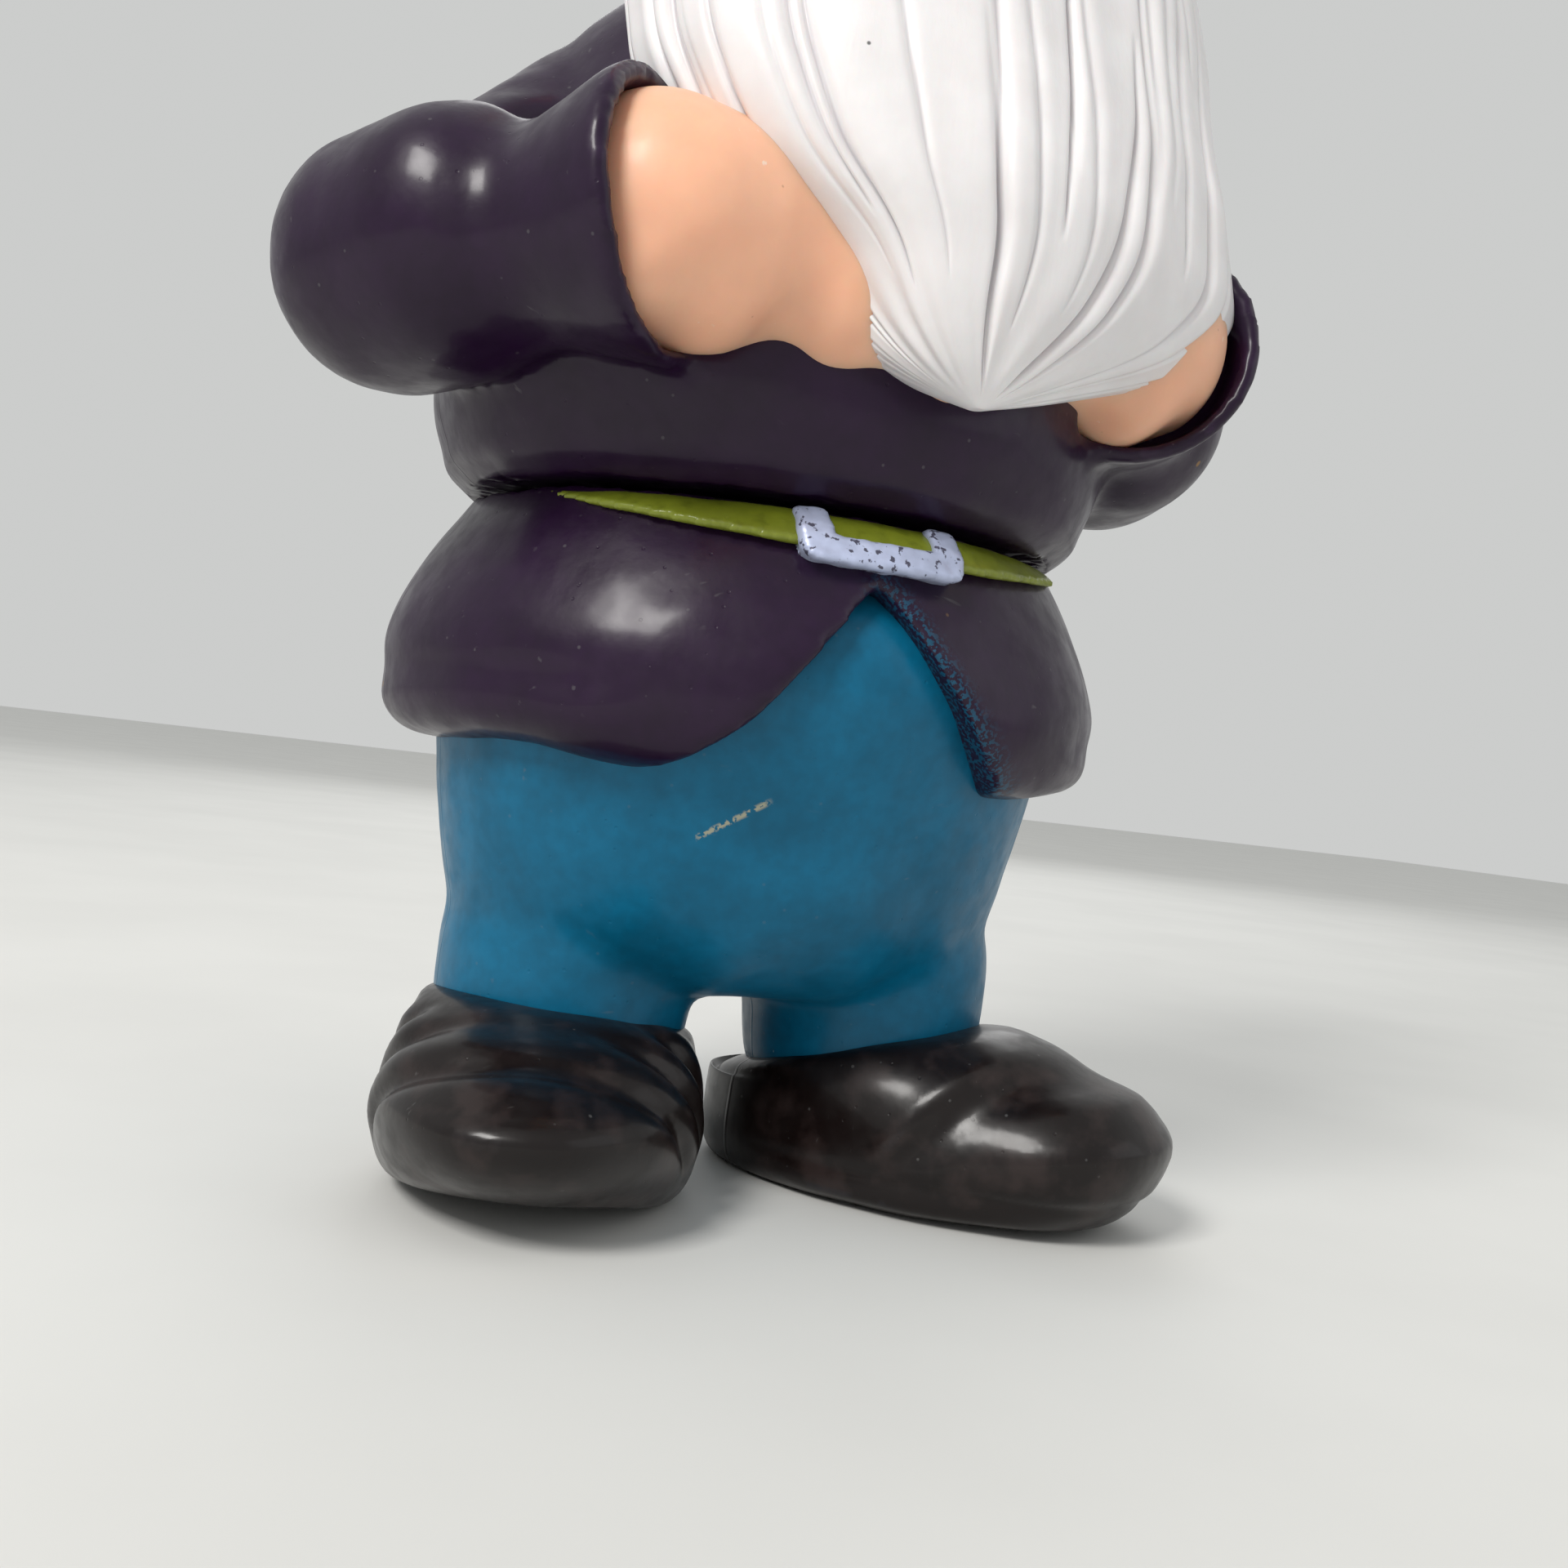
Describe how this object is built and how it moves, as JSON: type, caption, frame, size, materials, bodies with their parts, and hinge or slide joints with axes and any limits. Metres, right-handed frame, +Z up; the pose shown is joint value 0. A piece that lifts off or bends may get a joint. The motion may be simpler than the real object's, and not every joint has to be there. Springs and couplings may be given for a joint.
{
  "type": "garden gnome figure",
  "caption": "Hollow soft-vinyl garden gnome with a long white beard, belted coat and pointed cap, whose upper half turns at the waist.",
  "frame": {"origin": "middle of the figure's bounding box, at the height of the shoe soles", "axes": "+Z up from the soles to the tip of the cap; the lower half faces -Y; the figure's own right hand is at -X"},
  "size_m": [0.1206, 0.0889, 0.25],
  "materials": {
    "coat_paint": "satin aubergine paint over vinyl",
    "trouser_paint": "satin blue paint over vinyl",
    "shoe_paint": "glossy brown-black paint over vinyl",
    "belt_paint": "glossy olive green paint over vinyl",
    "buckle_paint": "pale silver-lilac paint, worn at the edges",
    "skin_vinyl": "unpainted flesh-coloured vinyl, satin",
    "bare_vinyl": "unpainted moulded vinyl",
    "beard_paint": "satin off-white paint over vinyl",
    "eye_paint": "glossy dark paint",
    "cap_paint": "satin red paint over vinyl"
  },
  "bodies": {
    "lower_body": {"trousers": "trouser_paint", "right_shoe": "shoe_paint", "left_shoe": "shoe_paint", "coat_skirt": "coat_paint", "belt": "belt_paint", "belt_buckle": "buckle_paint", "waist_socket": "bare_vinyl"},
    "upper_body": {"waist_plug": "bare_vinyl", "coat_body": "coat_paint", "right_sleeve": "coat_paint", "left_sleeve": "coat_paint", "right_hand": "skin_vinyl", "left_hand": "skin_vinyl", "beard": "beard_paint", "moustache": "beard_paint", "head": "skin_vinyl", "nose": "skin_vinyl", "right_eye": "eye_paint", "left_eye": "eye_paint", "right_eyebrow": "beard_paint", "left_eyebrow": "beard_paint", "right_ear": "skin_vinyl", "left_ear": "skin_vinyl", "hair": "beard_paint", "cap": "cap_paint", "cap_brim": "cap_paint"}
  },
  "joints": [
    {"name": "waist_turn", "type": "hinge", "parent": "lower_body", "child": "upper_body", "pos_m": [0.0002, 0.00495, 0.07725], "axis": [0, 0, 1], "continuous": true}
  ]
}
